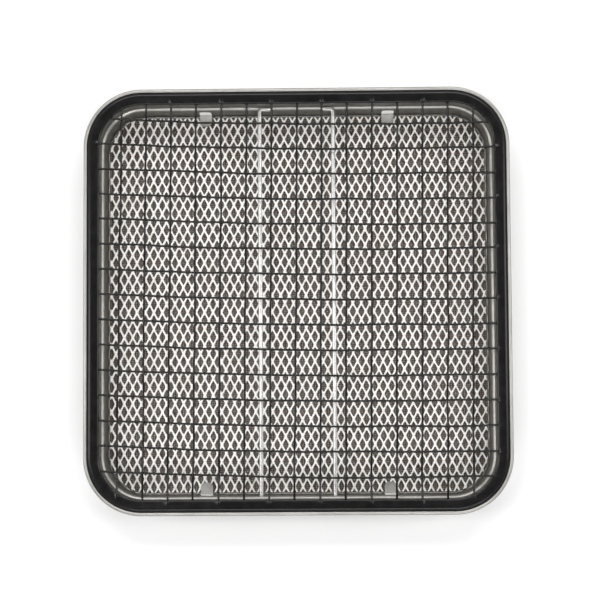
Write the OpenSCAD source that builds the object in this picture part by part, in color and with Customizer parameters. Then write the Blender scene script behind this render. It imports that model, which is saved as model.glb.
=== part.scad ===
// Square stove-top grill: a shallow steel tray with a gauze floor, a ceramic-coated
// expanded-metal mesh held by four claws, a lift-off woven net in a rolled rim,
// and a wire handle that slides out through the front wall.
// Frame: origin at the centre of the underside, +X right, +Y to the back, +Z up.

/* [Overall] */
// Width and depth over the rolled edge of the tray
overall = 220; // [200:1:240]
// Corner radius of the rolled edge
corner_r = 30; // [28:0.5:34]
// Height of the tray's ledge, on which the net's rim rests
ledge_z = 24; // [22:0.5:28]

/* [Tray] */
// Thickness of the tray's steel sheet
sheet = 0.5; // [0.4:0.05:0.6]
// Diameter of the rolled edge
bead_d = 2; // [1.8:0.1:2.4]
// Distance from the outer edge to the inner face of the upper wall
upper_inset = 7.6; // [7:0.1:9]
// Inward step between the upper and the lower wall
step_in = 1.5; // [1:0.1:2]
// Height of the top of the step
step_top_z = 15.2; // [14.8:0.1:18]
// Height of the bottom of the step
step_low_z = 14.5; // [14:0.1:14.7]
// Width of the flange that turns inward at the bottom
flange_w = 6.4; // [4:0.1:9]

/* [Claws] */
// Distance of each claw from the centre plane
claw_x = 48.4; // [35:0.5:65]
// Width of a claw
claw_w = 6.5; // [4:0.1:9]
// Length of the claws at the front
front_claw_l = 6.7; // [5:0.1:8]
// Length of the claws at the back
back_claw_l = 6.2; // [4:0.1:8]
// Height of the window above each claw
window_h = 8.2; // [6:0.1:9]
// Corner radius at the top of the windows
window_r = 1.8; // [0.5:0.1:2]
// Height of a claw's underside
claw_z = 2.9; // [2.9:0.05:3.2]

/* [Floor] */
// Thickness of the gauze floor over its crossings
gauze_t = 0.5; // [0.3:0.05:0.55]
// Height of the ceramic mesh's underside
mesh_z = 1.1; // [1.1:0.05:1.2]
// Thickness of the ceramic mesh
mesh_t = 1.7; // [1:0.1:1.7]
// Gap between the ceramic mesh and the lower wall
mesh_gap = 1.3; // [0.6:0.1:2]

/* [Net] */
// Number of wires each way
wires = 15; // [9:2:15]
// Distance between neighbouring wires
pitch = 13; // [11:0.1:13]
// How far the wires across the grill lie towards the back
net_shift = 1.1; // [0:0.1:1.4]
// How far the wires from front to back lie towards the left
net_side = 0.6; // [0:0.1:1]
// Turn of the wires across, in degrees clockwise seen from above
across_turn = 1; // [0:0.1:1]
// Turn of the wires from front to back, in degrees clockwise seen from above
deep_turn = 0.6; // [0:0.1:1]
// Diameter of the net's wire
wire_d = 1.1; // [0.8:0.05:1.1]
// Gap between the two layers of wires where they cross
wire_gap = 0.02; // [0.02:0.01:0.06]
// Width of the rolled rim
rim_w = 5.8; // [5.4:0.1:6.4]
// Height of the rolled rim
rim_h = 3.1; // [3.1:0.1:3.6]
// Thickness of the rim's strip
rim_t = 0.4; // [0.3:0.05:0.4]

/* [Handle] */
// Diameter of the handle's wire
handle_d = 2.2; // [1.8:0.1:2.4]
// Distance of each leg from the centre plane
leg_x = 19.2; // [14:0.1:28]
// Height at which the legs pass through the front wall
hole_z = 12.9; // [9:0.1:12.9]
// Bend radius of the loop on the centre line of the wire
bend_r = 5; // [3:0.1:5]
// Bend radius of the turned-in ends on the centre line of the wire
stop_r = 1.6; // [1.4:0.1:3]
// Length of the turned-in end of each leg, from the leg's centre line
stop_l = 5.4; // [4:0.1:8]

/* [Hidden] */
$fn = 48;
fit = 0.05;                              // gap between pieces that rest on each other
half = overall / 2;
core = half - corner_r;                  // corner centres lie at +-core in X and Y
upper_r = corner_r - upper_inset;        // corner radii of the tray's inner faces
lower_r = upper_r - step_in;
lower_in = core + lower_r;               // inner face of the lower wall
lower_out = lower_in + sheet;            // outer face of the lower wall
bead_z = ledge_z + bead_d / 2 + 0.6;
floor_r = lower_r - 1.2;                 // corner radius of the gauze
mesh_r = lower_r - mesh_gap;             // corner radius of the ceramic mesh
rim_z = ledge_z + fit;                   // underside of the rim
rim_r = corner_r - bead_d - 0.1;         // corner radius of the rim's outer edge
net_z = rim_z + rim_h / 2;               // middle plane of the net
rim_round = rim_h / 2;
wire_reach = rim_r - rim_round - fit;    // how far the wires run into the rim
layer = (wire_d + wire_gap) / 2;         // height of each layer of wires off the middle plane
turn_rise = half * tan(1);               // the most that a turned wire's ends move sideways
wall_y = lower_in + sheet / 2;           // middle of the lower wall's sheet
stop_y = lower_in + 0.1;                 // centre line of the turned-in ends at rest
stop_z = step_top_z + handle_d / 2 + 0.1; // they lie on the step above the holes
slope = atan((stop_z - hole_z) / (stop_y + wall_y));
handle_l = stop_y + half - handle_d / 2 - 0.6; // from the turned-in ends to the loop
hole_d = handle_d + 0.4;

function two(n) = n < 9 ? str("0", n + 1) : str(n + 1);
function wire_at(i) = (i - (wires - 1) / 2) * pitch;
// half length of a wire whose ends lie up to distance p from the centre
function wire_half(p) = p <= core ? core + wire_reach
    : core + sqrt(wire_reach ^ 2 - (p - core) ^ 2);

// Sweeps a section, drawn at its distance from the corner centres, round the square
module swept() {
    for (q = [0 : 3]) rotate(90 * q) {
        translate([core, core, 0]) rotate_extrude(angle = 90) children();
        translate([core, core, 0]) rotate([90, 0, 0]) linear_extrude(2 * core) children();
    }
}

// A flat plate with rounded corners
module plate(corner, thickness) {
    linear_extrude(thickness) {
        square([2 * core + 2 * corner, 2 * core], center = true);
        square([2 * core, 2 * core + 2 * corner], center = true);
        for (x = [-core, core], y = [-core, core]) translate([x, y]) circle(corner);
    }
}

// The tray's sheet in section, from the bottom flange up to the rolled edge
module tray_section() {
    lip = corner_r - bead_d + 0.1;
    polygon([
        [lower_r - flange_w, 0], [lower_r - 0.8, 0], [lower_r + sheet, 1.3],
        [lower_r + sheet, step_low_z - 0.2], [upper_r + sheet, step_top_z - 0.2],
        [upper_r + sheet, ledge_z - sheet], [lip + sheet, ledge_z - sheet],
        [lip + sheet, bead_z], [lip, bead_z], [lip, ledge_z], [upper_r, ledge_z],
        [upper_r, step_top_z], [lower_r, step_low_z], [lower_r, 1.5],
        [lower_r - 1, sheet], [lower_r - flange_w, sheet]]);
    translate([corner_r - bead_d / 2, bead_z]) circle(d = bead_d);
}

// One claw, cut from the back wall and bent inward, with its free corners cut off
module claw(length) {
    chamfer = 1.6;
    translate([0, lower_in + sheet / 2, claw_z]) linear_extrude(sheet) polygon([
        [-claw_w / 2, 0], [-claw_w / 2, chamfer - length], [chamfer - claw_w / 2, -length],
        [claw_w / 2 - chamfer, -length], [claw_w / 2, chamfer - length], [claw_w / 2, 0]]);
}

// The window that a claw leaves in the wall, with its two top corners rounded
module claw_window() {
    side_h = window_h - window_r;
    translate([0, lower_out + 1, claw_z + sheet]) rotate([90, 0, 0]) linear_extrude(sheet + 2) {
        translate([-claw_w / 2, 0]) square([claw_w, side_h]);
        translate([window_r - claw_w / 2, 0]) square([claw_w - 2 * window_r, window_h]);
        for (m = [0, 1]) mirror([m, 0]) translate([claw_w / 2 - window_r, side_h]) circle(window_r);
    }
}

module tray_body() {
    color([0.78, 0.79, 0.8]) difference() {
        union() {
            swept() tray_section();
            for (x = [-claw_x, claw_x]) {
                translate([x, 0, 0]) claw(back_claw_l);
                rotate(180) translate([x, 0, 0]) claw(front_claw_l);
            }
        }
        for (a = [0, 180], x = [-claw_x, claw_x])
            rotate(a) translate([x, 0, 0]) claw_window();
        for (x = [-leg_x, leg_x]) translate([x, 1 - lower_in, hole_z])
            rotate([90, 0, 0]) cylinder(h = sheet + 2, d = hole_d);
    }
}

module bottom_gauze() {
    color([0.5, 0.46, 0.42]) translate([0, 0, sheet + fit]) plate(floor_r, gauze_t);
}

module ceramic_mesh() {
    color([0.93, 0.92, 0.88]) translate([0, 0, mesh_z]) plate(mesh_r, mesh_t);
}

// The rim's strip in section: rolled over at the outside, open towards the wires
module rim_section() {
    flat_w = rim_w - rim_round;
    translate([rim_r - rim_w, rim_z]) difference() {
        union() {
            square([flat_w, rim_h]);
            translate([flat_w, rim_round]) circle(rim_round);
        }
        translate([-1, rim_t]) square([flat_w + 1, rim_h - 2 * rim_t]);
        translate([flat_w, rim_round]) circle(rim_round - rim_t);
    }
}

module net_rim() {
    color([0.13, 0.13, 0.13]) swept() rim_section();
}

// A wire along X at distance p from the centre and at height z, turned about its middle; the
// weave is drawn straight, as two layers, where the real wires bend over and under each other
module net_wire(p, z, turn) {
    reach = wire_half(abs(p) + turn_rise);
    color([0.1, 0.1, 0.1]) translate([0, p, z]) rotate(-turn) translate([-reach, 0, 0])
        rotate([0, 90, 0]) cylinder(h = 2 * reach, d = wire_d);
}

// The handle: two legs, the loop that joins them in front, and a turned-in stop on each leg.
// It is drawn level from its stops forward, and then sloped down to the holes.
module handle_wire() {
    loop_half = leg_x - bend_r;
    color([0.83, 0.84, 0.85]) translate([0, stop_y, stop_z]) rotate([slope, 0, 0]) {
        for (m = [0, 1]) mirror([m, 0, 0]) {
            translate([leg_x, -stop_r, 0]) rotate([90, 0, 0])
                cylinder(h = handle_l - stop_r - bend_r, d = handle_d);
            translate([loop_half, bend_r - handle_l, 0]) rotate(-90) rotate_extrude(angle = 90)
                translate([bend_r, 0]) circle(d = handle_d);
            translate([leg_x - stop_r, -stop_r, 0]) rotate_extrude(angle = 90)
                translate([stop_r, 0]) circle(d = handle_d);
            translate([leg_x - stop_l, 0, 0]) rotate([0, 90, 0])
                cylinder(h = stop_l - stop_r, d = handle_d);
        }
        translate([-loop_half, -handle_l, 0]) rotate([0, 90, 0])
            cylinder(h = 2 * loop_half, d = handle_d);
    }
}

tray_body();
bottom_gauze();
ceramic_mesh();
net_rim();
handle_wire();
for (i = [0 : wires - 1]) {
    net_wire(wire_at(i) + net_shift, net_z + layer, across_turn);
    rotate(90) net_wire(net_side - wire_at(i), net_z - layer, deep_turn);
}
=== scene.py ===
"""Square stove-top grill: tray, gauze, ceramic mesh, woven net and sliding handle."""
import math
import random

import bmesh
import bpy
from mathutils import Matrix, Vector, noise


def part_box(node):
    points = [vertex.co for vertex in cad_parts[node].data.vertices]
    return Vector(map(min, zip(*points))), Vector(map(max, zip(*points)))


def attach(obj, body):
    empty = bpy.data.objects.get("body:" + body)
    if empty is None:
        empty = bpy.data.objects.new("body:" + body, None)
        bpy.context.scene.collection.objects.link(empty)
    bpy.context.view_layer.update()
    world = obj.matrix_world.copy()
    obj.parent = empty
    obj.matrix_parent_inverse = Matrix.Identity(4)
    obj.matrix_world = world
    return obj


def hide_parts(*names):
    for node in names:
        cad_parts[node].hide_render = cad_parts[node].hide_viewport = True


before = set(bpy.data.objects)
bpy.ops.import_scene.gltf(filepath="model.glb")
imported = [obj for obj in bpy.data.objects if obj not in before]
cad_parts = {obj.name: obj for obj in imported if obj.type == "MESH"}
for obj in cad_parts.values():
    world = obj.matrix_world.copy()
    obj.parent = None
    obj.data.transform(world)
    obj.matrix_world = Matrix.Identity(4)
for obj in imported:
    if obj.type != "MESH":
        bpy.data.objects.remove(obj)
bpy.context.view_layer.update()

MM = 0.001

# ---- sizes, in millimetres, taken from the frame where it has them ----


def node_box(name):
    """A CAD node's lowest and highest corners in millimetres."""
    low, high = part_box(name)
    return [v / MM for v in low], [v / MM for v in high]


tray_high = node_box("tray_body")[1]
rim_low, rim_high = node_box("net_rim")
mesh_low, mesh_high = node_box("ceramic_mesh")
gauze_low, gauze_high = node_box("bottom_gauze")
handle_low, handle_high = node_box("handle_wire")

# tray
HALF = tray_high[0]                      # half the width over the rolled edge
CORNER_R = 30.0                          # corner radius of the rolled edge
CORE = HALF - CORNER_R                   # corner centres lie at +-CORE
SHEET = 0.5                              # tray sheet
BEAD_D = 2.0                             # rolled edge of the tray
BEAD_Z = tray_high[2] - BEAD_D / 2
LEDGE_Z = rim_low[2] - 0.05
UPPER_R = CORNER_R - 7.6                 # corner radius of the upper wall's inner face
LOWER_R = UPPER_R - 1.5                  # corner radius of the lower wall's inner face
STEP_TOP_Z, STEP_LOW_Z = 15.2, 14.5      # heights of the step between the two walls
FLANGE_W = 6.4                           # flange turned inward at the bottom
LOWER_IN = CORE + LOWER_R                # inner face of the lower wall
BEND_RADII = [0.7, 0.9, 0.9, 0.7, 0.6]   # the sheet's bends, from the flange up to the rolled edge

CLAW_X, CLAW_W, CLAW_Z = 48.4, 6.5, 2.9
CLAW_L = {1: 6.2, -1: 6.7}               # claw length at the back and at the front
WINDOW_H, WINDOW_R = 8.2, 2.6            # window over a claw, and its top corner radius

# net
RIM_OUT_R = rim_high[0] - CORE           # corner radii of the rim's edges
RIM_W = 5.8
RIM_IN_R = RIM_OUT_R - RIM_W
RIM_T = 0.4                              # thickness of the rim's strip
LIP_LEAN = 0.55                          # how far the rim's lips lean towards the wires
NET_Z = (rim_low[2] + rim_high[2]) / 2

WIRES = 15
PITCH = 13.0
WIRE_D = 1.1
NET_SHIFT = 1.1                          # the across wires lie this far to the back
NET_SIDE = 0.6                           # the deep wires lie this far to the left
NET_BOW = 2.0                            # the across wires' middles bow to the front
CRIMP = WIRE_D / 2                       # rise of a wire over the net's middle plane
ACROSS_TURN = math.tan(math.radians(1.0))  # both sets of wires lie turned clockwise
DEEP_TURN = math.tan(math.radians(0.6))
WIRE_END_GAP = 0.6                       # the wires end this far short of the CAD's
WANDER = 0.5                             # the most that a wire wanders sideways

# ceramic mesh and gauze
CELL_X, CELL_Y = 4.5, 8.8                # pitch of the expanded metal's diamonds
HOLE_X, HOLE_Y = 1.58, 3.1               # half width and half height of a hole
HOLE_POWER = 1.2                         # 1 makes the holes diamonds, 2 makes them ellipses
HOLE_JITTER = 0.06                       # how much the holes differ
SHOULDER_W, SHOULDER_DROP = 0.08, 0.22   # rounded edge of a strand beside a hole
STRAND_TILT = 0.22                       # the strands lean across the sheet

GAUZE_PITCH, GAUZE_D = 0.96, 0.4
GAUZE_RISE = GAUZE_D / 2 - 0.05          # the wires are pressed into each other a little
GAUZE_OVERLAP = 0.6                      # the loose wire ends reach into the tray's fillet

# handle
HANDLE_D = 2.2
HOLE_PLAY = 0.25                         # play round a leg in the wall's hole
LOOP_BEND, STOP_BEND = 5.0, 1.6          # bend radii of the wire's centre line
LEG_X = handle_high[0] - HANDLE_D / 2
LOOP_Y = handle_low[1] + HANDLE_D / 2
STOP_Y = handle_high[1] - HANDLE_D / 2
LOOP_Z = handle_low[2] + HANDLE_D / 2    # the handle slopes down from its stops to its loop
STOP_Z = handle_high[2] - HANDLE_D / 2
STOP_L = 5.4                             # length of a turned-in end, from the leg's centre line


def handle_z(y):
    """Height of the handle's centre line at y."""
    return STOP_Z + (LOOP_Z - STOP_Z) * (STOP_Y - y) / (STOP_Y - LOOP_Y)


# ---- mesh helpers ----


def make_object(name, verts, faces, material, smooth=True):
    """A mesh object from vertices in millimetres."""
    mesh = bpy.data.meshes.new(name)
    mesh.from_pydata([(x * MM, y * MM, z * MM) for x, y, z in verts], [], faces)
    mesh.validate()
    obj = bpy.data.objects.new(name, mesh)
    bpy.context.scene.collection.objects.link(obj)
    obj.data.materials.append(material)
    if smooth:
        for poly in mesh.polygons:
            poly.use_smooth = True
    return obj


def recalc_normals(obj):
    """Turns all faces outward."""
    bm = bmesh.new()
    bm.from_mesh(obj.data)
    bmesh.ops.recalc_face_normals(bm, faces=bm.faces)
    bm.to_mesh(obj.data)
    bm.free()


def apply_modifiers(obj):
    """Replaces an object's mesh by its evaluated mesh."""
    depsgraph = bpy.context.evaluated_depsgraph_get()
    mesh = bpy.data.meshes.new_from_object(obj.evaluated_get(depsgraph))
    obj.modifiers.clear()
    old = obj.data
    obj.data = mesh
    bpy.data.meshes.remove(old)


def cut(obj, tool, operation):
    """Applies one exact boolean and removes its tool."""
    modifier = obj.modifiers.new("cut", "BOOLEAN")
    modifier.operation = operation
    modifier.solver = "EXACT"
    modifier.object = tool
    apply_modifiers(obj)
    bpy.data.objects.remove(tool)


def shade_by_angle(obj, degrees):
    """Smooth shading with sharp edges above an angle."""
    for poly in obj.data.polygons:
        poly.use_smooth = True
    obj.data.set_sharp_from_angle(angle=math.radians(degrees))


def arc(cx, cy, radius, start, end, steps):
    """Points of an arc, angles in degrees."""
    points = []
    for i in range(steps + 1):
        a = math.radians(start + (end - start) * i / steps)
        points.append((cx + radius * math.cos(a), cy + radius * math.sin(a)))
    return points


def fillet(corners, radii, steps=5):
    """A polyline through corners, with each inner corner rounded."""
    points = [corners[0]]
    for i in range(1, len(corners) - 1):
        here = Vector(corners[i])
        back = (Vector(corners[i - 1]) - here).normalized()
        ahead = (Vector(corners[i + 1]) - here).normalized()
        half_angle = back.angle(ahead) / 2
        reach = radii[i - 1] / math.tan(half_angle)
        centre = here + (back + ahead).normalized() * radii[i - 1] / math.sin(half_angle)
        first = here + back * reach - centre
        last = here + ahead * reach - centre
        turn = first.angle_signed(last)
        for k in range(steps + 1):
            a = -turn * k / steps
            x = first.x * math.cos(a) - first.y * math.sin(a)
            y = first.x * math.sin(a) + first.y * math.cos(a)
            points.append((centre.x + x, centre.y + y))
    points.append(corners[-1])
    return points


def thicken(path, thickness):
    """A closed outline around a sheet's centre line, with round ends."""
    left, right = [], []
    for i, point in enumerate(path):
        a = Vector(path[max(i - 1, 0)])
        b = Vector(path[min(i + 1, len(path) - 1)])
        along = (b - a).normalized()
        side = Vector((-along.y, along.x)) * thickness / 2
        left.append((point[0] + side.x, point[1] + side.y))
        right.append((point[0] - side.x, point[1] - side.y))
    bulge = thickness * 0.35
    start = Vector(path[0]) - (Vector(path[1]) - Vector(path[0])).normalized() * bulge
    end = Vector(path[-1]) + (Vector(path[-1]) - Vector(path[-2])).normalized() * bulge
    return left + [tuple(end)] + right[::-1] + [tuple(start)]


def square_stations(marks, near, far, corner_steps):
    """Stations round the rounded square: corner centre or its travel, and outward direction.

    marks are places along each side that get close stations; near and far are the steps."""
    close = 7                            # close stations on each side of a mark
    side = [-CORE, CORE]
    for mark in marks:
        for k in range(-close, close + 1):
            place = mark + k * near
            if abs(place) < CORE:
                side.append(place)
    side = sorted(side)
    filled = [side[0]]
    for place in side[1:]:
        gap = place - filled[-1]
        if gap < near * 0.5:
            continue
        parts = max(1, math.ceil(gap / far))
        filled += [filled[-1] + gap * k / parts for k in range(1, parts + 1)]
    filled[-1] = CORE
    stations = []
    for q in range(4):
        turn = math.radians(90 * q)
        c, s = math.cos(turn), math.sin(turn)
        for place in filled[:-1]:
            x, y = CORE, place
            stations.append((x * c - y * s, x * s + y * c, c, s))
        for k in range(corner_steps):
            a = turn + math.radians(90 * k / corner_steps)
            x, y = CORE * c - CORE * s, CORE * s + CORE * c
            stations.append((x, y, math.cos(a), math.sin(a)))
    return stations


def sweep_square(section, stations, shift=None):
    """Vertices and faces of a closed section carried round the square."""
    verts, faces = [], []
    count, total = len(section), len(stations)
    for cx, cy, nx, ny in stations:
        for u, z in section:
            x, y = cx + u * nx, cy + u * ny
            if shift:
                x, y, z = shift(x, y, z, u, nx, ny)
            verts.append((x, y, z))
    for i in range(total):
        j = (i + 1) % total
        for k in range(count):
            m = (k + 1) % count
            faces.append((i * count + k, j * count + k, j * count + m, i * count + m))
    return verts, faces


def tube(points, radius, sides, dome=True):
    """Vertices and faces of a round tube along points, closed at both ends."""
    points = [Vector(p) for p in points]
    verts, faces = [], []
    along = (points[1] - points[0]).normalized()
    side = along.orthogonal().normalized()
    rings = []
    for i, p in enumerate(points):
        ahead = points[min(i + 1, len(points) - 1)] - points[max(i - 1, 0)]
        ahead.normalize()
        side = (side - ahead * side.dot(ahead)).normalized()
        up = ahead.cross(side)
        rings.append((p, side.copy(), up, ahead.copy()))
    if dome:
        bulge, narrow = radius * 0.3, 0.75
        p, s, u, a = rings[0]
        rings.insert(0, (p - a * bulge, s * narrow, u * narrow, a))
        p, s, u, a = rings[-1]
        rings.append((p + a * bulge, s * narrow, u * narrow, a))
    for p, s, u, a in rings:
        for k in range(sides):
            t = 2 * math.pi * k / sides
            verts.append(tuple(p + (s * math.cos(t) + u * math.sin(t)) * radius))
    for i in range(len(rings) - 1):
        for k in range(sides):
            m = (k + 1) % sides
            faces.append((i * sides + k, i * sides + m, (i + 1) * sides + m, (i + 1) * sides + k))
    faces.append(tuple(range(sides))[::-1])
    faces.append(tuple((len(rings) - 1) * sides + k for k in range(sides)))
    return verts, faces


# ---- materials ----


def new_material(name):
    """An empty node material and its Principled shader."""
    material = bpy.data.materials.new(name)
    material.use_nodes = True
    return material, material.node_tree, material.node_tree.nodes["Principled BSDF"]


def add_node(tree, kind, **values):
    """A shader node with some of its inputs or properties set."""
    node = tree.nodes.new(kind)
    for key, value in values.items():
        if key in node.inputs:
            node.inputs[key].default_value = value
        else:
            setattr(node, key, value)
    return node


def object_noise(tree, scale, detail, stretch=(1, 1, 1)):
    """Noise in object coordinates; stretch scales each axis."""
    coords = add_node(tree, "ShaderNodeTexCoord")
    mapping = add_node(tree, "ShaderNodeMapping")
    mapping.inputs["Scale"].default_value = stretch
    tree.links.new(coords.outputs["Object"], mapping.inputs["Vector"])
    texture = add_node(tree, "ShaderNodeTexNoise", Scale=scale, Detail=detail)
    tree.links.new(mapping.outputs["Vector"], texture.inputs["Vector"])
    return texture.outputs["Fac"]


def ramp(tree, fac, stops):
    """A colour ramp with (position, colour) stops; a colour may be one grey value."""
    node = add_node(tree, "ShaderNodeValToRGB")
    elements = node.color_ramp.elements
    for i, (place, colour) in enumerate(stops):
        element = elements[i] if i < 2 else elements.new(place)
        element.position = place
        element.color = (*colour, 1) if isinstance(colour, tuple) else (colour,) * 3 + (1,)
    tree.links.new(fac, node.inputs["Fac"])
    return node.outputs["Color"]


def add_bump(tree, shader, height, strength, distance):
    """Bump from a height, chained on any bump already there."""
    node = add_node(tree, "ShaderNodeBump", Strength=strength, Distance=distance)
    tree.links.new(height, node.inputs["Height"])
    if shader.inputs["Normal"].is_linked:
        tree.links.new(shader.inputs["Normal"].links[0].from_socket, node.inputs["Normal"])
    tree.links.new(node.outputs["Normal"], shader.inputs["Normal"])


def drive(tree, shader, socket, fac, stops):
    """Drives one of the shader's inputs through a ramp."""
    tree.links.new(ramp(tree, fac, stops), shader.inputs[socket])


def bright_steel():
    """Rolled stainless sheet with fine brushing and slight unevenness, darker at grazing angles."""
    material, tree, shader = new_material("bright_steel")
    shader.inputs["Metallic"].default_value = 1
    shader.inputs["Specular Tint"].default_value = (0.3, 0.295, 0.285, 1)
    cloud = object_noise(tree, 60, 4)
    stops = [(0.3, (0.36, 0.348, 0.325)), (0.7, (0.43, 0.422, 0.4))]
    drive(tree, shader, "Base Color", cloud, stops)
    streak = object_noise(tree, 500, 3, (1, 1, 12))
    drive(tree, shader, "Roughness", streak, [(0.3, 0.38), (0.75, 0.48)])
    add_bump(tree, shader, streak, 0.03, 0.00004)
    add_bump(tree, shader, object_noise(tree, 40, 2), 0.08, 0.0004)
    return material


def black_coating():
    """Satin black non-stick coating with a fine grain, worn a little lighter."""
    material, tree, shader = new_material("black_coating")
    cloud = object_noise(tree, 180, 5)
    stops = [(0.35, (0.003, 0.003, 0.0034)), (0.75, (0.009, 0.009, 0.0095))]
    drive(tree, shader, "Base Color", cloud, stops)
    shader.inputs["IOR"].default_value = 1.38
    grain = object_noise(tree, 2600, 3)
    drive(tree, shader, "Roughness", grain, [(0.3, 0.2), (0.8, 0.3)])
    add_bump(tree, shader, grain, 0.1, 0.00004)
    return material


def ceramic_coating():
    """Matt off-white ceramic with fine grain and faint warm and grey clouds."""
    material, tree, shader = new_material("ceramic_coating")
    cloud = object_noise(tree, 120, 5)
    stops = [(0.25, (0.8, 0.78, 0.73)), (0.5, (0.93, 0.915, 0.88)), (0.8, (0.97, 0.965, 0.945))]
    drive(tree, shader, "Base Color", cloud, stops)
    shader.inputs["Roughness"].default_value = 0.8
    shader.inputs["Specular IOR Level"].default_value = 0.3
    add_bump(tree, shader, object_noise(tree, 1800, 4), 0.5, 0.00012)
    return material


def gauze_wire():
    """Heat-resisting wire, brown and dull."""
    material, tree, shader = new_material("gauze_wire")
    shader.inputs["Specular IOR Level"].default_value = 0.15
    shader.inputs["Roughness"].default_value = 0.7
    cloud = object_noise(tree, 70, 5)
    stops = [(0.3, (0.085, 0.055, 0.035)), (0.55, (0.12, 0.083, 0.056)), (0.8, (0.16, 0.12, 0.088))]
    drive(tree, shader, "Base Color", cloud, stops)
    add_bump(tree, shader, object_noise(tree, 2500, 3), 0.2, 0.00005)
    return material


def plated_wire():
    """Bright plated wire with fine drawing lines."""
    material, tree, shader = new_material("plated_wire")
    shader.inputs["Metallic"].default_value = 1
    cloud = object_noise(tree, 90, 4)
    drive(tree, shader, "Base Color", cloud, [(0.3, (0.68, 0.68, 0.67)), (0.7, (0.78, 0.78, 0.77))])
    streak = object_noise(tree, 1500, 3, (1, 0.04, 1))
    drive(tree, shader, "Roughness", streak, [(0.3, 0.3), (0.75, 0.4)])
    add_bump(tree, shader, streak, 0.03, 0.00004)
    return material


def floor_paint():
    """Plain pale floor."""
    material, _, shader = new_material("floor_paint")
    shader.inputs["Base Color"].default_value = (0.88, 0.88, 0.88, 1)
    shader.inputs["Roughness"].default_value = 0.9
    return material


# ---- tray ----


def tray_section():
    """The tray's sheet, from the inner edge of the flange to the end of the rolled edge."""
    mid = SHEET / 2
    roll_r = BEAD_D / 2 - mid
    roll_x = CORNER_R - BEAD_D / 2
    path = fillet(
        [(LOWER_R - FLANGE_W, mid), (LOWER_R + mid, mid), (LOWER_R + mid, STEP_LOW_Z),
         (UPPER_R + mid, STEP_TOP_Z), (UPPER_R + mid, LEDGE_Z - mid),
         (roll_x - roll_r, LEDGE_Z - mid), (roll_x - roll_r, BEAD_Z)],
        BEND_RADII)
    path += arc(roll_x, BEAD_Z, roll_r, 180, -130, 20)[1:]
    return thicken(path, SHEET)


def uneven(x, y, z, u, nx, ny):
    """Small low waves of drawn sheet; they fade out at the ledge and the rolled edge."""
    height, start = 0.12, 7
    fade = max(0.0, min(1.0, (LEDGE_Z - 2 - z) / 6)) * max(0.0, min(1.0, z / 2))
    wave = noise.noise(Vector((x * 0.05, y * 0.05, z * 0.08 + start))) * height * fade
    return x + nx * wave, y + ny * wave, z


def prism(outline, axis, start, end, material):
    """A closed prism of an outline: along y the outline is (x, z), along z it is (x, y)."""
    place = {"y": lambda a, b, t: (a, t, b), "z": lambda a, b, t: (a, b, t)}[axis]
    count = len(outline)
    verts = [place(a, b, start) for a, b in outline] + [place(a, b, end) for a, b in outline]
    faces = [tuple(range(count)), tuple(range(count, 2 * count))[::-1]]
    faces += [(k, k + count, (k + 1) % count + count, (k + 1) % count) for k in range(count)]
    obj = make_object("tool", verts, faces, material, smooth=False)
    recalc_normals(obj)
    return obj


def claw_window(x, side, material):
    """The hole that a claw leaves in the wall, with rounded top corners."""
    low = CLAW_Z + SHEET * 0.6
    top = CLAW_Z + SHEET + WINDOW_H
    inset = CLAW_W / 2 - WINDOW_R
    outline = [(x - CLAW_W / 2, low), (x + CLAW_W / 2, low)]
    outline += arc(x + inset, top - WINDOW_R, WINDOW_R, 0, 90, 8)
    outline += arc(x - inset, top - WINDOW_R, WINDOW_R, 90, 180, 8)
    return prism(outline, "y", side * (LOWER_IN - 1), side * (LOWER_IN + SHEET + 1), material)


def claw(x, side, material):
    """A tongue bent in from the wall, with chamfered corners and a slight droop."""
    root = LOWER_IN + SHEET * 0.5
    chamfer, root_rise, tip_drop = 1.6, 0.25, 0.12
    length = CLAW_L[side]
    stations = [0.0, 0.15, 0.35, 0.6, 1.0, 2.0, 3.0, length - chamfer, length]
    verts, faces = [], []
    for s in stations:
        width = CLAW_W / 2 - max(0.0, s - (length - chamfer))
        bend = root_rise * math.exp(-s * 2.2)
        drop = tip_drop * (s / length) ** 2
        top = CLAW_Z + SHEET + bend - drop
        for dx, z in ((-width, top - SHEET), (-width, top), (width, top), (width, top - SHEET)):
            verts.append((x + dx, side * (root - s), z))
    count = len(stations)
    for i in range(count - 1):
        for k in range(4):
            m = (k + 1) % 4
            faces.append((4 * i + k, 4 * i + m, 4 * i + 4 + m, 4 * i + 4 + k))
    faces += [(0, 1, 2, 3), (4 * count - 1, 4 * count - 2, 4 * count - 3, 4 * count - 4)]
    obj = make_object("tool", verts, faces, material, smooth=False)
    recalc_normals(obj)
    return obj


def build_tray(material):
    """The tray with its windows, claws and handle holes."""
    marks = [-CLAW_X, CLAW_X, -LEG_X, LEG_X]
    stations = square_stations(marks, near=0.8, far=4.0, corner_steps=26)
    verts, faces = sweep_square(tray_section(), stations, uneven)
    tray = make_object("tray_shell", verts, faces, material)
    recalc_normals(tray)
    for side in (-1, 1):
        for x in (-CLAW_X, CLAW_X):
            cut(tray, claw_window(x, side, material), "DIFFERENCE")
            cut(tray, claw(x, side, material), "UNION")
    for x in (-LEG_X, LEG_X):
        outline = arc(x, handle_z(-LOWER_IN), HANDLE_D / 2 + HOLE_PLAY, 0, 345, 23)
        hole = prism(outline, "y", -LOWER_IN + 1, -LOWER_IN - SHEET - 1, material)
        cut(tray, hole, "DIFFERENCE")
    shade_by_angle(tray, 40)
    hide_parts("tray_body")
    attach(tray, "tray")


# ---- gauze ----


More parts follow.
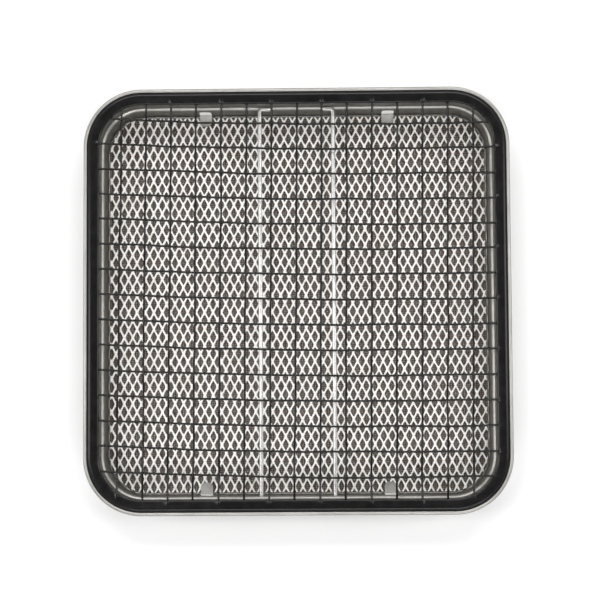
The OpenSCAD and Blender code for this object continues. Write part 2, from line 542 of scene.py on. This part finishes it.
def gauze_wires(name, along_y, side, material):
    """The gauze wires that run one way on one side of the centre, woven over and under the others."""
    half = gauze_high[0] + GAUZE_OVERLAP
    corner = half - CORE
    middle = (gauze_low[2] + gauze_high[2]) / 2
    count = int(2 * half / GAUZE_PITCH)
    verts, faces = [], []
    for i in range(count + 1):
        p = (i - count / 2) * GAUZE_PITCH
        if (p >= 0) != (side > 0):
            continue
        reach = half if abs(p) < CORE else CORE + math.sqrt(max(corner ** 2 - (abs(p) - CORE) ** 2, 0))
        if reach < 1:
            continue
        points = []
        for j in range(count + 1):
            q = (j - count / 2) * GAUZE_PITCH
            if abs(q) > reach:
                continue
            z = middle + (GAUZE_RISE if (i + j + along_y) % 2 else -GAUZE_RISE)
            points.append((p, q, z) if along_y else (q, p, z))
        v, f = tube(points, GAUZE_D / 2, 4, dome=False)
        faces += [tuple(k + len(verts) for k in face) for face in f]
        verts += v
    gauze = make_object(name, verts, faces, material)
    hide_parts("bottom_gauze")
    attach(gauze, "tray")


# ---- ceramic mesh ----


def hole_ring(centre, grow, per_edge):
    """Points round one hole: a diamond with rounded sides and pointed tips."""
    points = []
    for k in range(4 * per_edge):
        a = math.pi / 2 * k / per_edge
        c, s = math.cos(a), math.sin(a)
        x = math.copysign(abs(c) ** (2 / HOLE_POWER), c) * (HOLE_X + grow)
        y = math.copysign(abs(s) ** (2 / HOLE_POWER), s) * (HOLE_Y + grow)
        points.append((centre[0] + x, centre[1] + y))
    return points


def cell_ring(centre, per_edge):
    """Points round one cell: the diamond through its four neighbouring joints."""
    corners = [(CELL_X / 2, 0), (0, CELL_Y / 2), (-CELL_X / 2, 0), (0, -CELL_Y / 2)]
    points = []
    for e in range(4):
        a, b = corners[e], corners[(e + 1) % 4]
        for k in range(per_edge):
            t = k / per_edge
            points.append((centre[0] + a[0] * (1 - t) + b[0] * t,
                           centre[1] + a[1] * (1 - t) + b[1] * t))
    return points


def mesh_cells():
    """Vertices and faces of the whole sheet of expanded metal, before it is trimmed."""
    per_edge = 3
    low, high = mesh_low[2], mesh_high[2]
    middle = (low + high) / 2
    verts, faces, known = [], [], {}

    def vertex(x, y, z):
        key = (round(x, 3), round(y, 3), round(z, 2))
        if key not in known:
            known[key] = len(verts)
            verts.append((x, y, z))
        return known[key]

    across = int(mesh_high[0] / CELL_X) + 2
    deep = int(mesh_high[0] / CELL_Y) + 2
    for i in range(-2 * across, 2 * across + 1):
        for j in range(-2 * deep, 2 * deep + 1):
            if (i + j) % 2:
                continue
            cx, cy = i * CELL_X / 2, j * CELL_Y / 2
            if max(abs(cx), abs(cy)) > mesh_high[0] + CELL_Y:
                continue
            jitter = random.uniform(-HOLE_JITTER, HOLE_JITTER)
            outer = cell_ring((cx, cy), per_edge)
            inner = hole_ring((cx, cy), jitter, per_edge)
            shoulder = hole_ring((cx, cy), jitter + SHOULDER_W, per_edge)
            lean = [STRAND_TILT * max(-1, min(1, (x - cx) / HOLE_X)) for x, _ in inner]
            top, bottom = high - STRAND_TILT, low + STRAND_TILT
            rings = [
                [vertex(x, y, top) for x, y in outer],
                [vertex(x, y, top - SHOULDER_DROP + d) for (x, y), d in zip(shoulder, lean)],
                [vertex(x, y, middle + d * 0.6) for (x, y), d in zip(inner, lean)],
                [vertex(x, y, bottom + SHOULDER_DROP + d) for (x, y), d in zip(shoulder, lean)],
                [vertex(x, y, bottom) for x, y in outer],
            ]
            count = 4 * per_edge
            for a, b in zip(rings, rings[1:]):
                for k in range(count):
                    m = (k + 1) % count
                    faces.append((a[k], b[k], b[m], a[m]))
    return verts, faces


def trim_rounded(obj, half, corner):
    """Trims a flat piece to a rounded square and closes the cut strands."""
    bm = bmesh.new()
    bm.from_mesh(obj.data)
    core = half - corner
    corner_cuts = 8
    for q in range(4):
        turn = math.radians(90 * q)
        for k in range(corner_cuts):
            a = turn + math.radians(90 * k / corner_cuts)
            c, s = math.cos(turn), math.sin(turn)
            normal = Vector((math.cos(a), math.sin(a), 0))
            point = Vector((core * (c - s), core * (s + c), 0)) + normal * corner
            result = bmesh.ops.bisect_plane(
                bm, geom=bm.verts[:] + bm.edges[:] + bm.faces[:], dist=1e-7,
                plane_co=point * MM, plane_no=normal, clear_outer=True)
            edges = [e for e in result["geom_cut"] if isinstance(e, bmesh.types.BMEdge)]
            bmesh.ops.holes_fill(bm, edges=edges, sides=0)
    loose = [v for v in bm.verts if not v.link_faces]
    bmesh.ops.delete(bm, geom=loose, context="VERTS")
    bmesh.ops.recalc_face_normals(bm, faces=bm.faces)
    bm.to_mesh(obj.data)
    bm.free()


def build_ceramic_mesh(material):
    """The coated expanded-metal sheet."""
    verts, faces = mesh_cells()
    sheet = make_object("expanded_mesh", verts, faces, material)
    trim_rounded(sheet, mesh_high[0], mesh_high[0] - CORE)
    shade_by_angle(sheet, 60)
    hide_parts("ceramic_mesh")
    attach(sheet, "tray")


# ---- net ----


def wire_place(i):
    """Distance of a net wire from the centre."""
    return (i - (WIRES - 1) / 2) * PITCH


def across_offset(x):
    """How far an across wire lies behind its even place at x: shift, turn and bow."""
    bow = NET_BOW * ((x / HALF) ** 2 - 1 / 3)
    return NET_SHIFT - ACROSS_TURN * x + bow


def deep_offset(y):
    """How far a deep wire lies right of its even place at y: side shift and turn."""
    return DEEP_TURN * y - NET_SIDE


def crimp_height(x, y, i, deep):
    """Height of wire i over the net's middle plane where it passes the point x, y."""
    side = 1 if i % 2 == 0 else -1
    if deep:
        side = -side
    place = y - across_offset(x) if deep else x - deep_offset(y)
    return side * CRIMP * math.cos(math.pi * (place - wire_place(0)) / PITCH)


def rim_section():
    """The rim's strip, open towards the net; both lips lean towards the wires."""
    top, low = rim_high[2] - RIM_T / 2, rim_low[2] + RIM_T / 2
    round_r = (top - low) / 2
    round_x = RIM_OUT_R - RIM_T / 2 - round_r
    inner = RIM_IN_R + 0.1
    steps = 9

    def lean(u):
        return LIP_LEAN * max(0.0, (round_x - u) / (round_x - inner)) ** 1.7

    flats = [inner + (round_x - inner) * k / steps for k in range(steps)]
    path = [(u, low + lean(u)) for u in flats]
    path += arc(round_x, NET_Z, round_r, -90, 90, 14)
    path += [(u, top - lean(u)) for u in flats[::-1]]
    return thicken(path, RIM_T)


def rim_bumps(x, y, z, u, nx, ny):
    """Lifts or dents the lips where a wire runs in under them."""
    lift, dent, half_width = 0.5, 0.12, 0.75
    reach = max(0.0, min(1.0, (RIM_IN_R + 3.2 - u) / 3.0))
    if reach <= 0:
        return x, y, z
    deep = abs(ny) > abs(nx)
    across = x - deep_offset(y) if deep else y - across_offset(x)
    i = round(across / PITCH + (WIRES - 1) / 2)
    if i < 0 or i >= WIRES:
        return x, y, z
    off = across - wire_place(i)
    top_side = 1 if z > NET_Z else -1
    press = crimp_height(x, y, i, deep) * top_side / CRIMP
    push = lift * max(0.0, press) - dent * max(0.0, -press)
    bump = push * math.exp(-(off / half_width) ** 2) * reach ** 1.5
    return x, y, z + top_side * bump


def build_rim(material):
    """The rolled strip round the net."""
    marks = [wire_place(i) for i in range(WIRES)]
    stations = square_stations(marks, near=0.28, far=1.6, corner_steps=60)
    verts, faces = sweep_square(rim_section(), stations, rim_bumps)
    rim = make_object("net_rim_strip", verts, faces, material)
    recalc_normals(rim)
    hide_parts("net_rim")
    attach(rim, "net")


def build_net_wire(i, deep, material):
    """One crimped wire of the net, slightly wandering between its crossings."""
    p = wire_place(i)
    node = f"net_wire_{'deep' if deep else 'across'}_{i + 1:02d}"
    high = node_box(node)[1]
    reach = high[1 if deep else 0] - WIRE_END_GAP
    steps_per_pitch = 12
    steps = int(2 * reach / PITCH * steps_per_pitch)
    seed = random.uniform(0, 100)
    points = []
    for k in range(steps + 1):
        s = -reach + 2 * reach * k / steps
        wander = noise.noise(Vector((s * 0.03, seed, 0))) * WANDER
        if deep:
            x, y = p + deep_offset(s) + wander, s
        else:
            x, y = s, p + across_offset(s) + wander
        points.append((x, y, NET_Z + crimp_height(x, y, i, deep)))
    verts, faces = tube(points, WIRE_D / 2, 10)
    wire = make_object(node.replace("net_wire", "crimped_wire"), verts, faces, material)
    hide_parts(node)
    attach(wire, "net")


# ---- handle ----


def build_handle(material):
    """The sliding handle: one wire with a stop, a leg and half the loop on each side."""
    leg_steps, loop_steps = 40, 6
    half = [(LEG_X - STOP_L, STOP_Y)]
    half += arc(LEG_X - STOP_BEND, STOP_Y - STOP_BEND, STOP_BEND, 90, 0, 10)
    back, front = STOP_Y - STOP_BEND, LOOP_Y + LOOP_BEND
    half += [(LEG_X, back + (front - back) * k / leg_steps) for k in range(1, leg_steps)]
    half += arc(LEG_X - LOOP_BEND, front, LOOP_BEND, 0, -90, 14)
    loop_half = LEG_X - LOOP_BEND
    half += [(loop_half * (1 - k / loop_steps), LOOP_Y) for k in range(1, loop_steps + 1)]
    path = [(x, y, handle_z(y)) for x, y in half]
    path += [(-x, y, z) for x, y, z in path[-2::-1]]
    verts, faces = tube(path, HANDLE_D / 2, 20)
    handle = make_object("bent_handle", verts, faces, material)
    shade_by_angle(handle, 50)
    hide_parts("handle_wire")
    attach(handle, "handle")


# ---- stage ----


def build_floor():
    """A plain pale floor under the grill."""
    size = 3000.0
    floor = make_object("floor", [(-size, -size, 0), (size, -size, 0), (size, size, 0),
                                  (-size, size, 0)], [(0, 1, 2, 3)], floor_paint(), smooth=False)


def add_area(name, place, size, power):
    """A soft area light, in metres and watts, that looks at the grill."""
    data = bpy.data.lights.new(name, "AREA")
    data.shape = "RECTANGLE"
    data.size, data.size_y = size
    data.energy = power
    light = bpy.data.objects.new(name, data)
    light.location = place
    ahead = Vector((0, 0, 0)) - Vector(place)
    light.rotation_euler = ahead.to_track_quat("-Z", "Y").to_euler()
    bpy.context.scene.collection.objects.link(light)


def build_lights():
    """Soft studio light: pale walls, a dimmer ceiling and four soft boxes."""
    world = bpy.data.worlds.new("studio")
    bpy.context.scene.world = world
    world.use_nodes = True
    tree = world.node_tree
    background = tree.nodes["Background"]
    coords = add_node(tree, "ShaderNodeTexCoord")
    split = add_node(tree, "ShaderNodeSeparateXYZ")
    tree.links.new(coords.outputs["Generated"], split.inputs["Vector"])
    sky = [(0.0, 0.9), (0.35, 0.7), (0.7, 0.34), (0.92, 0.16)]
    tree.links.new(ramp(tree, split.outputs["Z"], sky), background.inputs["Color"])
    background.inputs["Strength"].default_value = 0.8
    add_area("front_box", (0.1, -0.85, 1.05), (1.2, 0.35), 8)
    add_area("left_box", (-0.9, 0.0, 1.05), (0.35, 1.2), 7)
    add_area("right_box", (0.95, 0.1, 1.05), (0.35, 1.2), 6)
    add_area("back_box", (0.0, 0.85, 1.1), (1.3, 0.5), 11)


def build_camera():
    """Almost straight above and a little to the front."""
    data = bpy.data.cameras.new("camera")
    data.sensor_width = 36
    data.lens = 81
    data.shift_y = 0.05
    data.clip_start = 0.01
    camera = bpy.data.objects.new("camera", data)
    rim_top = rim_high[2] * MM
    camera.location = (0.0123, -0.0516, rim_top + 0.69)
    aim = Vector((0.0015, -0.0155, rim_top))
    ahead = (aim - camera.location).normalized()
    right = ahead.cross(Vector((0, 1, 0))).normalized()
    up = right.cross(ahead)
    upright = Matrix((right, up, -ahead)).transposed()
    roll = Matrix.Rotation(math.radians(-0.36), 3, "Z")
    camera.rotation_euler = (upright @ roll).to_euler()
    bpy.context.scene.collection.objects.link(camera)
    bpy.context.scene.camera = camera


def main():
    random.seed(7)
    build_camera()
    build_lights()
    build_floor()
    steel, black = bright_steel(), black_coating()
    gauze_steel = gauze_wire()
    build_tray(steel)
    for side, place in ((-1, "low"), (1, "high")):
        gauze_wires(f"gauze_warp_{place}", 1, side, gauze_steel)
        gauze_wires(f"gauze_weft_{place}", 0, side, gauze_steel)
    build_ceramic_mesh(ceramic_coating())
    build_rim(black)
    for i in range(WIRES):
        build_net_wire(i, False, black)
        build_net_wire(i, True, black)
    build_handle(plated_wire())


main()
bpy.context.scene.view_settings.view_transform = "Standard"
